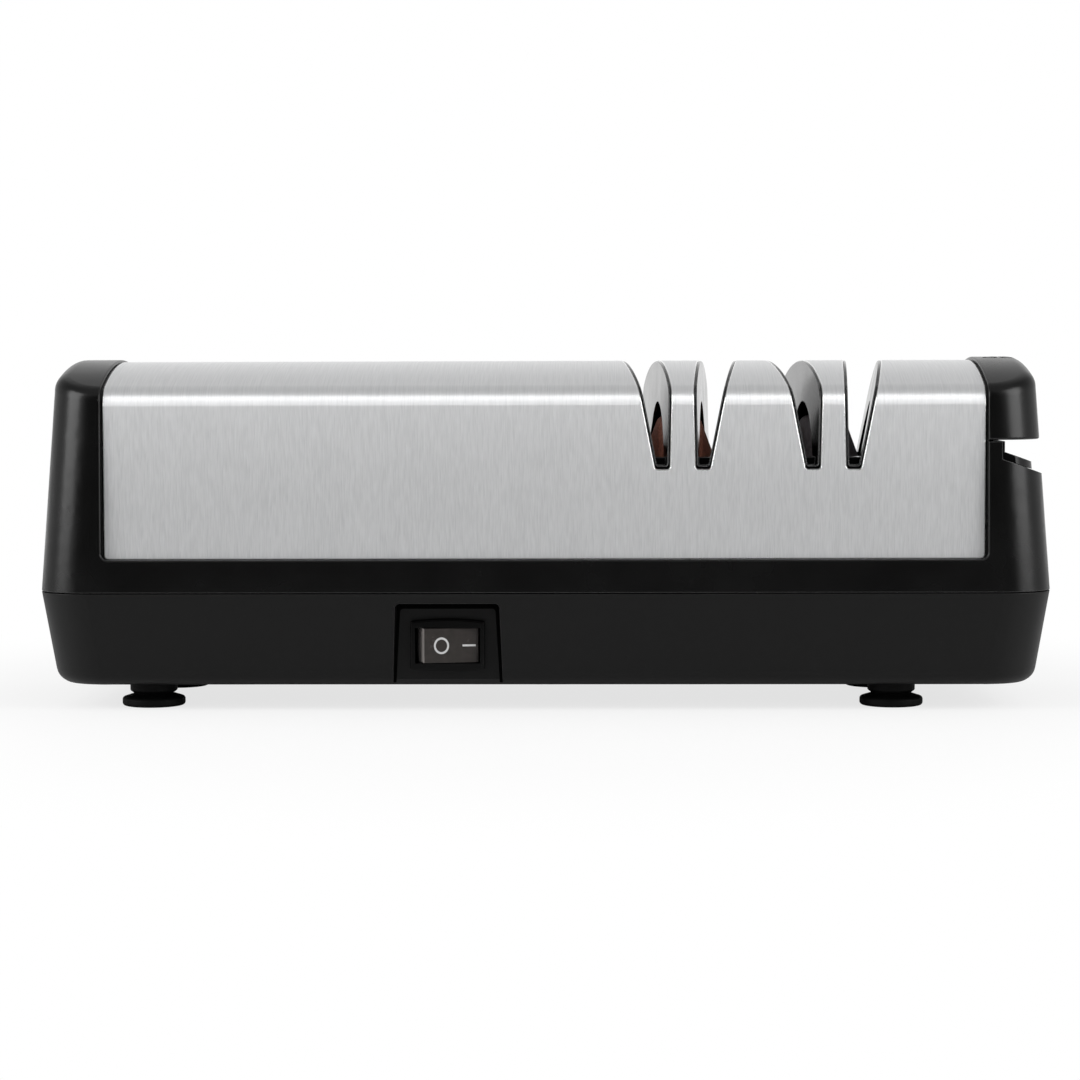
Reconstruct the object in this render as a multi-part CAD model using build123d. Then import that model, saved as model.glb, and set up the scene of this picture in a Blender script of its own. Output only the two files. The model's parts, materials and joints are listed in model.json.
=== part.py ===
from build123d import *
import math
import os

# Electric knife sharpener with two sharpening stages and a scissors notch.
# Millimetres. X runs along the body, -Y is the front, Z = 0 is the worktop.

# Body shells
body_length = 288.2       # at the parting line
body_depth = 88.0         # at the parting line
cap_width = 20.0          # body's end to the cover's end
corner_radius = 15.0      # plan corners at the parting line
end_draft = 4.1           # degrees, ends of the upper housing
front_draft = 2.0         # degrees, front and rear of the upper housing
base_draft = 8.6          # degrees, all sides of the base tray
base_height = 7.1         # worktop to the underside of the base
parting_height = 33.7     # worktop to the parting line
parting_gap = 0.4         # shadow gap between the shells
base_edge_radius = 5.0
cap_edge_radius = 4.5
wall = 2.5
tongue_width = 1.2        # lip of the base inside the housing
tongue_rise = 3.0
tongue_root = 3.0
slip = 0.2                # easy fit between moulded pieces
cut_past = 10.0           # length of cuts that run right through a wall

# Steel cover
cover_depth = 83.0
cover_top = 99.0
cover_bottom = 43.2
cover_sheet = 0.6
crown_radius = 107.0
cover_bend = 6.0
cover_end_gap = 0.7       # shadow gap to the end caps
cover_seat = 0.1          # gap to the housing under it
cover_corner = 1.2        # lower corners of the sheet
cap_stand = 0.6           # left cap stands above the crown
hood_stand = 0.9          # scissors hood stands above the crown
lip_round = 0.6           # housing's edge beside the cover
touch = 0.001             # points closer than this lie on a surface

# Knife slots, measured at the cover's front from the middle of a stage
fine_inset = 42.5         # cover's right end to the middle of the fine stage
stage_pitch = 42.3
slot_inner = 3.5
slot_width = 4.35
slot_depth = 30.7         # below the cover's top
slot_outer_lean = 11.2    # degrees
slot_inner_lean = 1.35    # degrees
slot_splay = 4.2          # degrees in plan, opening to the rear
slot_corner = 1.0
guide_gap = 0.15
guide_wall = 0.75
guide_floor = 1.1
guide_step = 2.1          # sill above the trough's floor
guide_step_setback = 6.0
guide_sill_round = 0.4
guide_rim_edge = 0.25     # broken inner edge of the rim
guide_recess = 0.15       # rim below the cover's surface
arch_radius = 22.8        # window in both walls of a guide
arch_forward = 8.5        # its middle ahead of the shaft
arch_rise = 18.8          # slot's bottom to the window's top

# Shaft and wheels
axis_drop = 15.3          # slot's bottom to the shaft's axis
shaft_radius = 4.0
shaft_fit = 0.02          # fixed pieces on the shaft
running_fit = 0.05        # radial clearance of what turns or slides
wheel_radius = 30.0
wheel_rim = 2.66          # cylindrical land before the cone
wheel_shoulder = 3.0
cone_angle = 20.5         # degrees, grinding face to the wheel's plane
abrasive_root = 13.0      # inner radius of the abrasive
abrasive_depth = 2.6
rim_depth = 3.0
rim_clearance = 1.0
cone_clearance = 0.9
hub_radius = 7.0
collar_radius = 12.0
collar_width = 2.5
retainer_width = 1.0
retainer_radius = 9.6
retainer_groove = 0.8
hub_overhang = 0.9
wheel_travel = 1.5        # each wheel's slide towards the collar
collar_clear = 0.45       # left over at the end of the slide

# Wheel springs
spring_radius = 10.6
spring_wire = 1.0
spring_turns = 3
spring_pocket = 2.0       # half width of the pocket
spring_pocket_depth = 4.3
spring_end_gap = 0.05

# Scissors end
notch_inner = 4.0         # shell between the cover's gap and the notch
hood_height = 23.0        # cover's top to the top of the notch
notch_height = 4.9
ledge_angle = 19.0        # degrees
hood_gap = 0.5
hood_floor = 2.0
guide_show_x = 1.2        # guide stands past the shell's notch edge
guide_show_z = 1.9
guide_plate = 1.8
guide_window = 20.0
guide_window_height = 3.0
scissors_wheel_width = 3.6
scissors_wheel_gap = 0.6  # to the guide, and below the notch's top

# Switch
switch_x = -27.1
recess_width = 28.8       # at the top
recess_margin = 3.1       # base's upper edge to the top of the recess
recess_corner = 1.0
recess_draft = 5.0        # degrees
recess_splay = 2.8        # degrees, widening to the underside
recess_least = 0.45       # depth of the recess at the base's underside
bezel_width = 21.0
bezel_height = 13.5       # at the corners
bezel_bulge = 0.75        # arch of the upper and lower edges
bezel_proud = 2.0
bezel_round = 0.5
switch_body_width = 19.6
switch_body_height = 12.7
switch_body_depth = 14.0
window_width = 18.4
window_height = 10.0
rocker_half = 7.6
rocker_reach = 6.5        # pivot to the rocker's face
rocker_foot = 8.8
rocker_round = 0.5
rocker_back = 1.4
rocker_side_gap = 0.15
rocker_tilt = 9.0         # degrees, either way from level
rocker_pin = 1.0
rocker_pin_length = 0.9
pivot_depth = 4.4         # behind the panel's face
window_floor = 8.0
terminal_width = 4.8
terminal_thick = 0.8
terminal_length = 8.0
terminal_pitch = 6.5

# Feet
foot_left_inset = 31.0    # from the body's left end
foot_right_inset = 44.4   # from the body's right end
foot_front_inset = 20.0
foot_rear_inset = 16.5
foot_radius = 9.05
foot_lip = 2.4            # height of the cup's edge
foot_round = 0.9
foot_waist = 5.6
foot_waist_height = 3.5
foot_collar = 6.8
foot_collar_low = 4.4
foot_collar_round = 0.6
foot_stem = 3.0
foot_bulb = 4.0
foot_bulb_height = 2.0
foot_cup = 7.3
foot_cup_depth = 1.5

# Motor
motor_radius = 24.0
motor_length = 48.0
motor_inset = 16.8        # body's left end to the can's back
motor_wall = 1.5
motor_shaft_out = 15.0
end_bell_length = 10.0
end_bell_floor = 3.0
magnet_depth = 5.0
magnet_arc = 140.0        # degrees
rotor_gap = 0.7
rotor_end = 4.0           # free room at each end of the rotor's stack
commutator_radius = 8.0
commutator_length = 9.0
coupling_radius = 9.0
coupling_length = 24.0
shaft_end_gap = 0.6

# Motor cradle
cradle_plate = 2.5
saddle_width = 6.0
saddle_inset = 9.0
ear_width = 6.8           # screw ears beside the straps
saddle_drop = 8.0         # below the motor's axis
saddle_lift = 5.5         # saddles widen this far above the floor
cradle_half = 16.0
strap_thick = 1.5
strap_fit = 0.1

# Bearings
block_to_stage = 33.3     # left bearing block to the middle of the coarse stage
right_block_inset = 12.1  # right bearing block to the cover's right end
block_width = 12.0
block_radius = 11.0
block_web = 8.5           # half width of the upright web
block_foot = 16.5         # half width of the foot
block_foot_height = 4.0
bush_radius = 7.0
bush_flange = 8.5
bush_flange_width = 1.0

# Screws
screw_radius = 1.75
screw_head = 3.4
screw_head_height = 2.2
screw_fit = 0.05
boss_radius = 4.5
boss_inset = 17.1         # from the body's ends
boss_clear = 3.1          # to the scissors wheel
boss_rise = 26.0
boss_rib = 2.0
screw_bite = 14.0
counterbore = 4.0
hood_screw_y = 20.0
hood_screw_rise = 3.0     # hood's floor to the screw's boss
hood_screw_bite = 8.0

# Cord gland
gland_inset = 40.8        # from the body's left end
gland_height = 20.0
gland_bore = 3.6
gland_neck = 5.4
gland_flange = 7.6
gland_flange_width = 1.6


def tan(degrees):
    return math.tan(math.radians(degrees))


def span_box(x_low, x_high, y_low, y_high, z_low, z_high):
    """Box between two corners."""
    size = (x_high - x_low, y_high - y_low, z_high - z_low)
    middle = ((x_low + x_high) / 2, (y_low + y_high) / 2, (z_low + z_high) / 2)
    return Pos(*middle) * Box(*size)


def turned(points, x=0.0, side=1):
    """Ring turned about the shaft's axis from (distance along X, radius) points."""
    outline = [(x + side * along, radius) for along, radius in points]
    face = make_face(Polyline(*outline, close=True))
    return turn_face(face)


def turn_face(face):
    """Revolve a face drawn as (X, radius) about the shaft's axis."""
    plane = Plane(origin=(0, 0, axis_height), x_dir=(1, 0, 0), z_dir=(0, -1, 0))
    axis = Axis((0, 0, axis_height), (1, 0, 0))
    return revolve(plane * face, axis, 360)


def tube(x_low, x_high, outer, inner):
    return turned([(x_low, inner), (x_high, inner), (x_high, outer), (x_low, outer)])


def bar(x_low, x_high, radius):
    """Plain round bar on the shaft's axis."""
    return tube(x_low, x_high, radius, 0)


# Values worked out from the driving sizes
half_body = body_length / 2
half_cover = half_body - cap_width
cap_start = half_cover + cover_end_gap
floor_height = base_height + wall
housing_low = parting_height + parting_gap / 2
base_high = parting_height - parting_gap / 2
fine_x = half_cover - fine_inset
coarse_x = fine_x - stage_pitch
stages = {"coarse": coarse_x, "fine": fine_x}
sides = {"left": -1, "right": 1}
above_all = cover_top + cap_edge_radius
slot_bottom = cover_top - slot_depth
axis_height = slot_bottom - axis_drop
notch_top = cover_top - hood_height
notch_corner = notch_top - notch_height
notch_x = cap_start + notch_inner
recess_top = base_high - recess_margin
switch_height = (base_height + recess_top) / 2
panel_y = recess_least - body_depth / 2 + (parting_height - base_height) * tan(base_draft)
cone_slope = tan(cone_angle)
wheel_inner = collar_width / 2 + wheel_travel + collar_clear
wheel_land = wheel_inner + wheel_rim
wheel_face = wheel_land + (wheel_radius - abrasive_root) * cone_slope
retainer_in = wheel_face + running_fit
hub_half = retainer_in + retainer_width + hub_overhang
left_block_x = coarse_x - block_to_stage
right_block_x = half_cover - right_block_inset
motor_back = motor_inset - half_body
motor_front = motor_back + motor_length
saddle_top = axis_height - saddle_drop
saddle_half = motor_radius + strap_fit + strap_thick + ear_width
motor_shaft_end = motor_front + motor_shaft_out
shaft_start = motor_shaft_end + shaft_end_gap
coupling_middle = (motor_shaft_end + shaft_start) / 2
scissors_guide_x = notch_x + guide_show_x
scissors_wheel_right = scissors_guide_x - guide_plate - scissors_wheel_gap
scissors_wheel_radius = notch_top - scissors_wheel_gap - axis_height
shaft_end = scissors_wheel_right
pivot = (switch_x, panel_y + pivot_depth, switch_height)
boss_x = half_body - boss_inset
boss_y = scissors_wheel_radius + boss_clear + boss_radius
hood_screw_height = notch_top + hood_gap + hood_floor + hood_screw_rise + boss_radius
gland_x = gland_inset - half_body


def plan_section(z, inset):
    """Plan outline of the upper housing at height z, moved in by inset."""
    rise = z - parting_height
    length = body_length - 2 * (rise * tan(end_draft) + inset)
    depth = body_depth - 2 * (rise * tan(front_draft) + inset)
    return Plane.XY.offset(z) * RectangleRounded(length, depth, corner_radius - inset)


def upper_block(z_low, z_high, inset):
    return loft([plan_section(z_low, inset), plan_section(z_high, inset)], ruled=True)


def base_section(z, inset):
    """Plan outline of the base tray at height z, moved in by inset."""
    drop = (parting_height - z) * tan(base_draft) + inset
    size = (body_length - 2 * drop, body_depth - 2 * drop)
    return Plane.XY.offset(z) * RectangleRounded(*size, corner_radius - inset)


def base_block(z_low, z_high, inset):
    return loft([base_section(z_low, inset), base_section(z_high, inset)], ruled=True)


def crown_prism(drop, bottom, x_low, x_high, half=None, bend=None):
    """Prism under the crown: the cover's section moved in by drop."""
    half = cover_depth / 2 - drop if half is None else half
    apex = cover_top - drop
    radius = crown_radius - drop
    shoulder = apex - radius + math.sqrt(radius ** 2 - half ** 2)
    top = ThreePointArc((-half, shoulder), (0, apex), (half, shoulder))
    sides_and_floor = Polyline((half, shoulder), (half, bottom), (-half, bottom), (-half, shoulder))
    face = make_face(top + sides_and_floor)
    if bend:
        shoulders = face.vertices().sort_by(Axis.Y)[2:]
        face = fillet(shoulders, bend)
    return extrude(Plane.YZ.offset(x_low) * face, amount=x_high - x_low)


def cap_form(stand):
    """Outer form of the end caps: drafted block under a crown, edges rounded."""
    block = upper_block(housing_low, above_all, 0)
    crown = crown_prism(-stand, 0, -body_length, body_length, half=body_depth / 2 + wall)
    form = block & crown
    top = form.faces().sort_by(Axis.Z)[-1]
    return fillet(top.edges(), cap_edge_radius)


def slot_prism(x, side, inset, floor_inset, top=above_all):
    """V slot through the whole depth, splayed in plan; inset moves its walls inwards."""
    bottom = slot_bottom + floor_inset
    rise = bottom - slot_bottom
    inner = slot_inner + inset - rise * tan(slot_inner_lean)
    outer = slot_inner + slot_width - inset + rise * tan(slot_outer_lean)
    height = top - bottom
    corners = [
        (inner, bottom),
        (outer, bottom),
        (outer + height * tan(slot_outer_lean), top),
        (inner - height * tan(slot_inner_lean), top),
    ]
    face = make_face(Polyline(*corners, close=True))
    face = fillet(face.vertices().sort_by(Axis.Y)[:2], slot_corner - min(inset, slot_corner / 2))
    start = -body_depth
    shift = (start + cover_depth / 2) * tan(slot_splay)
    plane = Plane(origin=(shift, start, 0), x_dir=(1, 0, 0), z_dir=(0, -1, 0))
    length = 2 * body_depth / math.cos(math.radians(slot_splay))
    prism = extrude(plane * face, amount=length, dir=(tan(slot_splay), 1, 0))
    if side < 0:
        prism = mirror(prism, about=Plane.YZ)
    return Pos(x, 0, 0) * prism


def wheel_space(x, side):
    """Room for a wheel in the slot guides."""
    rim = wheel_radius + rim_clearance
    cone_x = wheel_land + cone_clearance
    foot_x = wheel_face + cone_clearance
    points = [(0, 0), (0, rim), (cone_x, rim), (foot_x, abrasive_root), (foot_x, 0)]
    return turned(points, x, side)


def arch_window():
    """Round window that shows the wheel through the walls of the slot guides."""
    middle = (0, -arch_forward, slot_bottom + arch_rise - arch_radius)
    return Pos(*middle) * Cylinder(arch_radius, 2 * body_length, rotation=(0, 90, 0))


def broken_edges(shape, skin, cutter):
    """Edges of a shape where a cutter breaks through a skin."""
    def follows(edge, solid):
        return all(solid.shell().distance_to(edge @ share) < touch for share in (0.2, 0.5, 0.8))
    return [edge for edge in shape.edges() if follows(edge, skin) and follows(edge, cutter)]


def screw(length):
    """Pan-head screw pointing up, its seat at Z = 0."""
    shank = Cylinder(screw_radius, length, align=(Align.CENTER, Align.CENTER, Align.MIN))
    head_align = (Align.CENTER, Align.CENTER, Align.MAX)
    head = Cylinder(screw_head, screw_head_height, align=head_align)
    rim = head.edges().group_by(Axis.Z)[0]
    return shank + fillet(rim, screw_head_height / 2)


def upright(radius, z_low, z_high, x, y):
    align = (Align.CENTER, Align.CENTER, Align.MIN)
    return Pos(x, y, z_low) * Cylinder(radius, z_high - z_low, align=align)


def boss_places():
    return [(sx * boss_x, sy * boss_y) for sx in (-1, 1) for sy in (-1, 1)]


def foot_places():
    left = foot_left_inset - half_body
    right = half_body - foot_right_inset
    front = foot_front_inset - body_depth / 2
    rear = body_depth / 2 - foot_rear_inset
    return {
        "front_left_foot": (left, front),
        "front_right_foot": (right, front),
        "rear_left_foot": (left, rear),
        "rear_right_foot": (right, rear),
    }


def gland_plane():
    """Plane on the rear of the base, facing out."""
    drop = (parting_height - gland_height) * tan(base_draft)
    normal = (0, math.cos(math.radians(base_draft)), -math.sin(math.radians(base_draft)))
    return Plane(origin=(gland_x, body_depth / 2 - drop, gland_height), x_dir=(1, 0, 0), z_dir=normal)


# Upper housing: band, left cap and the inner shell that carries the cover
def notch_cut():
    """Scissors notch in the right cap, seen from the front, through the whole depth."""
    far = body_length
    low = notch_corner - (far - notch_x) * tan(ledge_angle)
    points = [(notch_x, above_all), (notch_x, notch_corner), (far, low), (far, above_all)]
    face = Plane.XZ.offset(-body_depth) * make_face(Polyline(*points, close=True))
    return extrude(face, amount=2 * body_depth)


def housing_cavity():
    crown_drop = cover_sheet + cover_seat + wall
    block = upper_block(housing_low - wall, above_all, wall)
    crown = crown_prism(crown_drop, 0, -body_length, body_length, bend=cover_bend - wall)
    low_part = upper_block(housing_low - wall, cover_bottom - wall, wall)
    end_wall = span_box(cap_start - wall, cap_start, -body_depth, body_depth, notch_top, above_all)
    return (block & crown) - end_wall + low_part


def upper_housing():
    recess_low = cover_bottom - cover_seat
    recess = span_box(-cap_start, cap_start, -body_depth, body_depth, recess_low, above_all)
    lower_corners = recess.edges().filter_by(Axis.Y).group_by(Axis.Z)[0]
    recess = fillet(lower_corners, cover_corner + cover_end_gap)
    core_drop = cover_sheet + cover_seat
    core = crown_prism(core_drop, housing_low + wall, -cap_start, cap_start, bend=cover_bend - core_drop)
    form = cap_form(cap_stand)
    shell = form - recess
    shell = fillet(broken_edges(shell, form, recess), lip_round) + core
    shell -= housing_cavity()
    shell -= span_box(cap_start, body_length, -body_depth, body_depth, notch_top, above_all)
    shell -= notch_cut()
    inner_half = cover_depth / 2 - core_drop - wall / 2
    for x, y in boss_places():
        boss_top = housing_low + boss_rise
        rib_low = housing_low + tongue_rise + wall
        y_low, y_high = sorted((y, math.copysign(inner_half, y)))
        shell += upright(boss_radius, housing_low, boss_top, x, y)
        shell += span_box(x - boss_rib / 2, x + boss_rib / 2, y_low, y_high, rib_low, boss_top)
        shell -= upright(screw_radius + screw_fit, 0, housing_low + screw_bite + screw_fit, x, y)
    for x in stages.values():
        for side in sides.values():
            shell -= slot_prism(x, side, 0, 0)
    for y in (-hood_screw_y, hood_screw_y):
        hole = Cylinder(screw_radius + screw_fit, cut_past, rotation=(0, 90, 0))
        shell -= Pos(cap_start, y, hood_screw_height) * hole
    return shell


def steel_cover():
    outer = crown_prism(0, cover_bottom, -half_cover, half_cover, bend=cover_bend)
    inner = crown_prism(cover_sheet, 0, -half_cover, half_cover, bend=cover_bend - cover_sheet)
    sheet = outer - inner
    ends = sheet.edges().filter_by(Axis.Y).group_by(Axis.Z)[0]
    sheet = fillet(ends, cover_corner)
    for x in stages.values():
        for side in sides.values():
            sheet -= slot_prism(x, side, 0, 0)
    return sheet


def slot_guide(x, side):
    """V trough between the cover's cut edges, with a stepped floor and the wheel's arch."""
    skin = crown_prism(guide_recess, 0, -body_length, body_length, bend=cover_bend)
    inner_inset = guide_gap + guide_wall
    hollow = slot_prism(x, side, inner_inset, guide_gap + guide_floor)
    trough = (slot_prism(x, side, guide_gap, guide_gap) & skin) - hollow
    trough = chamfer(broken_edges(trough, skin, hollow), guide_rim_edge)
    step_top = slot_bottom + guide_gap + guide_floor + guide_step
    step = slot_prism(x, side, inner_inset - guide_gap, guide_gap, step_top)
    step_half = cover_depth / 2 - guide_step_setback
    step &= span_box(-body_length, body_length, -step_half, step_half, 0, above_all)
    step = fillet(step.edges().filter_by(Axis.X).group_by(Axis.Z)[-1], guide_sill_round)
    return trough + step - wheel_space(x, side) - arch_window()


# Scissors end
def scissors_hood():
    low = notch_top + hood_gap
    region = span_box(cap_start, body_length, -body_depth, body_depth, low, above_all)
    form = cap_form(hood_stand)
    hood = form & region
    hood = fillet(broken_edges(hood, form, region), lip_round)
    hollow = upper_block(housing_low, above_all, wall)
    hollow &= crown_prism(wall - hood_stand, 0, 0, body_length, half=cover_depth / 2 - wall)
    hollow &= span_box(cap_start, body_length, -body_depth, body_depth, low + hood_floor, above_all)
    hood -= hollow
    for y in (-hood_screw_y, hood_screw_y):
        boss = Cylinder(boss_radius, body_length, rotation=(0, 90, 0))
        boss = Pos(cap_start, y, hood_screw_height) * boss
        hood += boss & hollow & span_box(cap_start, body_length, -body_depth, body_depth, low, above_all)
        hole = Cylinder(screw_radius + screw_fit, 2 * (hood_screw_bite + screw_fit), rotation=(0, 90, 0))
        hood -= Pos(cap_start, y, hood_screw_height) * hole
    return hood


def scissors_guide():
    """Bent plate that closes the notch: upright wall, sloping ledge and the wheel's window."""
    right = scissors_guide_x
    left = right - guide_plate
    corner = notch_corner + guide_show_z
    far = half_body
    drop = (far - right) * tan(ledge_angle)
    points = [
        (left, notch_top),
        (right, notch_top),
        (right, corner),
        (far, corner - drop),
        (far, corner - drop - guide_plate),
        (left, corner - guide_plate),
    ]
    face = Plane.XZ.offset(-body_depth) * make_face(Polyline(*points, close=True))
    plate = extrude(face, amount=2 * body_depth)
    inside = upper_block(housing_low, above_all, wall + slip)
    inside &= crown_prism(cover_sheet + cover_seat + wall + slip, 0, 0, body_length)
    plate &= inside
    half = guide_window / 2
    window_low = notch_top - guide_window_height
    return plate - span_box(left - wall, right + slip, -half, half, window_low, above_all)


def hood_screws():
    group = []
    for y in (-hood_screw_y, hood_screw_y):
        place = Pos(cap_start - wall, y, hood_screw_height) * Rot(0, 90, 0)
        group.append(place * screw(wall + hood_screw_bite))
    return Compound(group)


# Base
def base_tray():
    tray = base_block(base_height, base_high, 0)
    tray = fillet(tray.edges().group_by(Axis.Z)[0], base_edge_radius)
    outer = tray
    tray -= base_block(floor_height, base_high + wall, wall)
    tongue_low = base_high - tongue_root
    tongue_high = base_high + tongue_rise
    tongue_in = wall + slip
    tongue = upper_block(tongue_low, tongue_high, tongue_in)
    tongue += base_block(tongue_low, base_high, wall / 2)
    tongue -= upper_block(tongue_low, tongue_high, tongue_in + tongue_width)
    half_recess = recess_width / 2 + (recess_top - base_height) * tan(recess_splay)
    panel_half = half_recess + wall
    panel_back = panel_y + wall
    panel = span_box(
        switch_x - panel_half, switch_x + panel_half, -body_depth, panel_back, base_height, base_high
    )
    tray += tongue + (panel & outer)
    tray -= switch_recess()
    opening = (switch_body_width + 2 * slip, cut_past, switch_body_height + 2 * slip)
    tray -= Pos(switch_x, panel_y + wall / 2, switch_height) * Box(*opening)
    for x, y in boss_places():
        tray += upright(boss_radius, base_height + wall / 2, base_high, x, y) & outer
        tray -= upright(screw_radius + screw_fit, 0, base_high + wall, x, y)
        tray -= upright(counterbore, 0, base_height + screw_head_height, x, y)
    for x, y in foot_places().values():
        tray -= upright(foot_stem + slip / 2, 0, floor_height + slip, x, y)
    plane = gland_plane()
    return tray - plane * Cylinder(gland_neck + slip / 2, 2 * cut_past)


def switch_recess():
    """Flat switch panel sunk in the drafted front, open at the underside."""
    low = -base_height
    height = recess_top - low
    foot_width = recess_width + 2 * height * tan(recess_splay)
    face = Trapezoid(foot_width, height, 90 - recess_splay)
    face = fillet(face.vertices().group_by(Axis.Y)[-1], recess_corner)
    plane = Plane(origin=(switch_x, panel_y, (recess_top + low) / 2), x_dir=(1, 0, 0), z_dir=(0, -1, 0))
    return extrude(plane * face, amount=cut_past, taper=-recess_draft)


def housing_screws():
    seat = base_height + screw_head_height
    length = housing_low + screw_bite - seat
    return Compound([Pos(x, y, seat) * screw(length) for x, y in boss_places()])


def foot(x, y):
    """Suction foot turned about its own upright axis, pushed through the base's floor."""
    bulb_low = floor_height + slip / 2
    points = [
        (0, foot_cup_depth),
        (foot_cup, 0),
        (foot_radius, 0),
        (foot_radius, foot_lip),
        (foot_waist, foot_waist_height),
        (foot_collar, foot_collar_low),
        (foot_collar, base_height),
        (foot_stem, base_height),
        (foot_stem, bulb_low),
        (foot_bulb, bulb_low),
        (foot_stem, bulb_low + foot_bulb_height),
        (0, bulb_low + foot_bulb_height),
    ]
    face = make_face(Polyline(*points, close=True))
    face = fillet(face.vertices().group_by(Axis.X)[-1], foot_round)
    collar_edge = face.vertices().sort_by_distance((foot_collar, foot_collar_low, 0))[0]
    face = fillet(collar_edge, foot_collar_round)
    return Pos(x, y, 0) * revolve(Plane.XZ * face, Axis.Z, 360)


def cord_gland():
    """Rubber gland in the base's rear wall, its bore open."""
    plane = gland_plane()
    grip = wall * math.cos(math.radians(base_draft)) + slip / 2
    points = [
        (gland_bore, gland_flange_width),
        (gland_flange, gland_flange_width),
        (gland_flange, 0),
        (gland_neck, 0),
        (gland_neck, -grip),
        (gland_flange, -grip),
        (gland_flange, -grip - gland_flange_width),
        (gland_bore, -grip - gland_flange_width),
    ]
    face = Plane.XZ * make_face(Polyline(*points, close=True))
    return plane * revolve(face, Axis.Z, 360)


# Switch
def switch_body():
    front = panel_y - bezel_proud
    half = bezel_width / 2
    rise = bezel_height / 2
    peak = rise + bezel_bulge
    edge = (
        Line((half, -rise), (half, rise))
        + ThreePointArc((half, rise), (0, peak), (-half, rise))
        + Line((-half, rise), (-half, -rise))
        + ThreePointArc((-half, -rise), (0, -peak), (half, -rise))
    )
    plane = Plane(origin=(switch_x, panel_y, switch_height), x_dir=(1, 0, 0), z_dir=(0, -1, 0))
    body = extrude(plane * make_face(edge), amount=bezel_proud)
    body = fillet(body.faces().sort_by(Axis.Y)[0].edges(), bezel_round)
    body += plane * Pos(0, 0, -switch_body_depth / 2) * Box(
        switch_body_width, switch_body_height, switch_body_depth
    )
    depth = bezel_proud + window_floor
    window = Pos(switch_x, front + depth / 2, switch_height) * Box(window_width, depth, window_height)
    holes = Cylinder(rocker_pin + running_fit, window_height + 2 * (rocker_pin_length + slip))
    return body - window - Pos(*pivot) * holes


def switch_rocker():
    """Rocker with a flat face and sloping ends, tilted on its upright pin."""
    points = [
        (-rocker_half, -rocker_reach),
        (rocker_half, -rocker_reach),
        (rocker_foot, -rocker_back),
        (rocker_foot / 2, rocker_back),
        (-rocker_foot / 2, rocker_back),
        (-rocker_foot, -rocker_back),
    ]
    height = window_height - 2 * rocker_side_gap
    face = make_face(Polyline(*points, close=True))
    face = fillet(face.vertices().group_by(Axis.Y)[0], rocker_round)
    rocker = extrude(face, amount=height / 2, both=True)
    rocker += Cylinder(rocker_pin, height + 2 * rocker_pin_length)
    return Pos(*pivot) * Rot(0, 0, rocker_tilt) * rocker


def switch_terminals():
    y = panel_y + switch_body_depth
    group = []
    for step in (-1, 0, 1):
        blade = Box(terminal_thick, terminal_length, terminal_width)
        group.append(Pos(switch_x + step * terminal_pitch, y + terminal_length / 2, switch_height) * blade)
    return Compound(group)


# Wheels
def stage_hub(x):
    """Sleeve keyed on the shaft, with the collar that both springs push from."""
    groove = hub_radius - retainer_groove
    retainer_out = retainer_in + retainer_width
    bore = shaft_radius + shaft_fit
    half = [
        (collar_width / 2, collar_radius),
        (collar_width / 2, hub_radius),
        (retainer_in, hub_radius),
        (retainer_in, groove),
        (retainer_out, groove),
        (retainer_out, hub_radius),
        (hub_half, hub_radius),
        (hub_half, bore),
    ]
    other = [(-along, radius) for along, radius in reversed(half)]
    return turned(half + other, x)


def abrasive_points():
    """Section of the abrasive ring: rim, grinding cone and the seat behind them."""
    seat_x = wheel_face - abrasive_depth
    seat_r = wheel_radius - rim_depth
    seat_top = seat_x - (seat_r - abrasive_root) * cone_slope
    return [
        (wheel_inner, wheel_radius),
        (wheel_land, wheel_radius),
        (wheel_face, abrasive_root),
        (seat_x, abrasive_root),
        (seat_top, seat_r),
        (wheel_inner, seat_r),
    ]


def abrasive_ring(x, side):
    outline = [(x + side * along, radius) for along, radius in abrasive_points()]
    face = make_face(Polyline(*outline, close=True))
    shoulder = face.vertices().sort_by_distance((x + side * wheel_land, wheel_radius, 0))[0]
    return turn_face(fillet(shoulder, wheel_shoulder))


def wheel_core(x, side):
    """Carrier of an abrasive ring; it slides on the hub and holds the spring's pocket."""
    ring = abrasive_points()
    bore = hub_radius + running_fit
    pocket_end = wheel_inner + spring_pocket_depth
    points = [
        (wheel_inner, bore),
        (wheel_inner, spring_radius - spring_pocket),
        (pocket_end, spring_radius - spring_pocket),
        (pocket_end, spring_radius + spring_pocket),
        (wheel_inner, spring_radius + spring_pocket),
        ring[5],
        ring[4],
        ring[3],
        ring[2],
        (wheel_face, bore),
    ]
    return turned(points, x, side)


def helix_point(turn, pitch):
    angle = 2 * math.pi * turn
    return Vector(spring_radius * math.cos(angle), spring_radius * math.sin(angle), pitch * turn)


def helix_tangent(turn, pitch):
    angle = 2 * math.pi * turn
    around = 2 * math.pi * spring_radius
    return Vector(-around * math.sin(angle), around * math.cos(angle), pitch).normalized()


def biarc(start, start_way, end, end_way):
    """Two tangent arcs from start to end that keep both end directions."""
    chord = end - start
    ways = start_way + end_way
    spread = 2 * (1 - start_way.dot(end_way))
    along = chord.dot(ways)
    reach = (math.sqrt(along ** 2 + spread * chord.dot(chord)) - along) / spread
    middle = (start + end + (start_way - end_way) * reach) * 0.5
    first = TangentArc(start, middle, tangent=start_way)
    second = TangentArc(middle, end, tangent=first % 1)
    return [first, second]


def spring_pitch():
    room = wheel_inner + spring_pocket_depth - collar_width / 2 - 2 * spring_end_gap
    return (room - spring_wire) / spring_turns


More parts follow.
